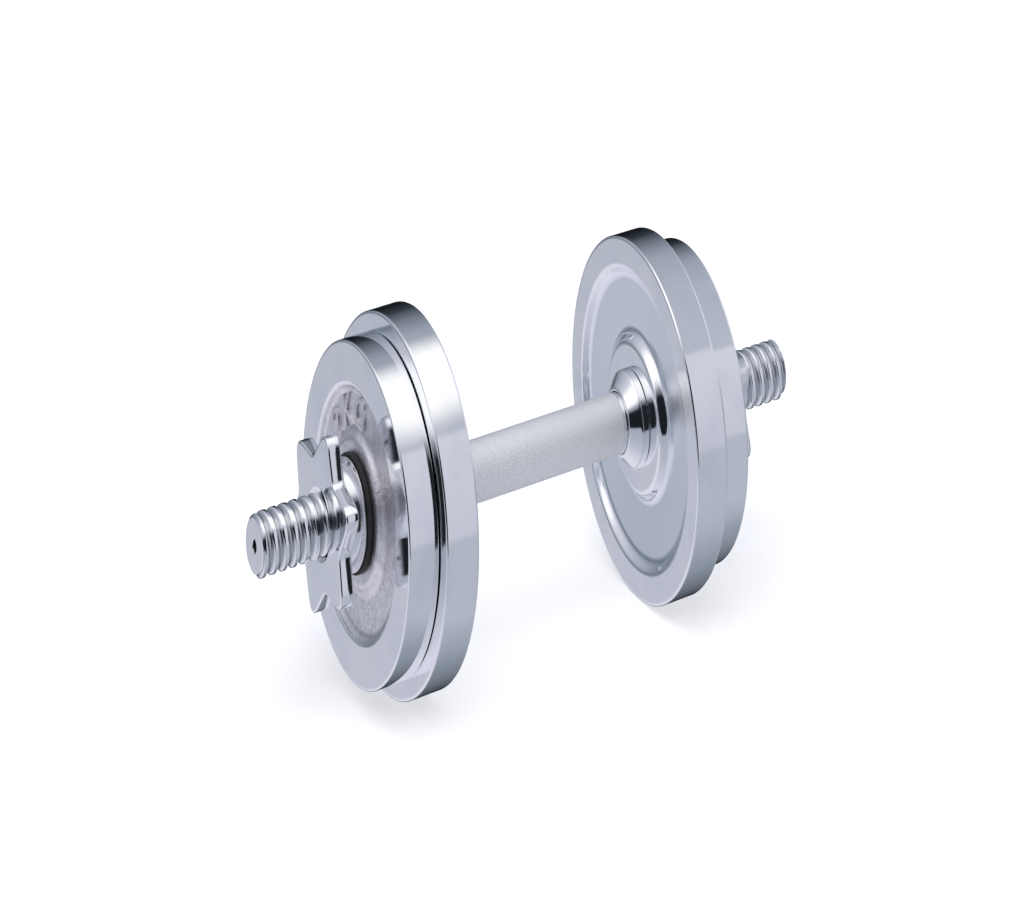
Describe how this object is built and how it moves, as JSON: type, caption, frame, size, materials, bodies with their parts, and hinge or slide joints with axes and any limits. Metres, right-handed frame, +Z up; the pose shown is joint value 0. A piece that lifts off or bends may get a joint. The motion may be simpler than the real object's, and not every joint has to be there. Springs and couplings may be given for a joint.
{
  "type": "adjustable dumbbell",
  "caption": "Straight threaded bar with a knurled grip and fixed collars, carrying round metal plates on both ends held by star-shaped screw nuts.",
  "frame": {"origin": "middle of the bar, on its axis", "axes": "+X along the bar towards the right end, +Z up"},
  "size_m": [0.381, 0.1494, 0.1494],
  "materials": {
    "bar_chrome": "polished thread, fine diamond knurl on the grip",
    "plate_chrome": "mirror polished, rough cast in the recesses",
    "nut_chrome": "polished casting",
    "screw_steel": "blackened",
    "rubber": "matte"
  },
  "bodies": {
    "bar": {"bar": "bar_chrome", "collar_left": "nut_chrome", "collar_screw_left": "screw_steel", "collar_right": "nut_chrome", "collar_screw_right": "screw_steel"},
    "large_plate_left": {"large_plate_left": "plate_chrome"},
    "small_plate_left": {"small_plate_left": "plate_chrome"},
    "rubber_ring_left": {"rubber_ring_left": "rubber"},
    "star_nut_left": {"star_nut_left": "nut_chrome"},
    "large_plate_right": {"large_plate_right": "plate_chrome"},
    "small_plate_right": {"small_plate_right": "plate_chrome"},
    "rubber_ring_right": {"rubber_ring_right": "rubber"},
    "star_nut_right": {"star_nut_right": "nut_chrome"}
  },
  "joints": [
    {"name": "nut_travel_left", "type": "slide", "parent": "bar", "child": "rubber_ring_left", "axis": [-1, 0, 0], "range_m": [0, 0.15]},
    {"name": "nut_turn_left", "type": "hinge", "parent": "rubber_ring_left", "child": "star_nut_left", "pos_m": [-0.135, 0, 0], "axis": [-1, 0, 0], "range_deg": [0, 7830]},
    {"name": "small_plate_slide_left", "type": "slide", "parent": "bar", "child": "small_plate_left", "axis": [-1, 0, 0], "range_m": [0, 0.138]},
    {"name": "large_plate_slide_left", "type": "slide", "parent": "bar", "child": "large_plate_left", "axis": [-1, 0, 0], "range_m": [0, 0.1215]},
    {"name": "nut_travel_right", "type": "slide", "parent": "bar", "child": "rubber_ring_right", "axis": [1, 0, 0], "range_m": [0, 0.15]},
    {"name": "nut_turn_right", "type": "hinge", "parent": "rubber_ring_right", "child": "star_nut_right", "pos_m": [0.135, 0, 0], "axis": [1, 0, 0], "range_deg": [0, 7830]},
    {"name": "small_plate_slide_right", "type": "slide", "parent": "bar", "child": "small_plate_right", "axis": [1, 0, 0], "range_m": [0, 0.138]},
    {"name": "large_plate_slide_right", "type": "slide", "parent": "bar", "child": "large_plate_right", "axis": [1, 0, 0], "range_m": [0, 0.1215]}
  ],
  "couplings": [
    {"joint": "nut_turn_left", "follows": "nut_travel_left", "rad_per_m": 910.61},
    {"joint": "small_plate_slide_left", "follows": "nut_travel_left", "ratio": 0.915},
    {"joint": "large_plate_slide_left", "follows": "nut_travel_left", "ratio": 0.806},
    {"joint": "nut_turn_right", "follows": "nut_travel_right", "rad_per_m": 910.61},
    {"joint": "small_plate_slide_right", "follows": "nut_travel_right", "ratio": 0.915},
    {"joint": "large_plate_slide_right", "follows": "nut_travel_right", "ratio": 0.806}
  ]
}
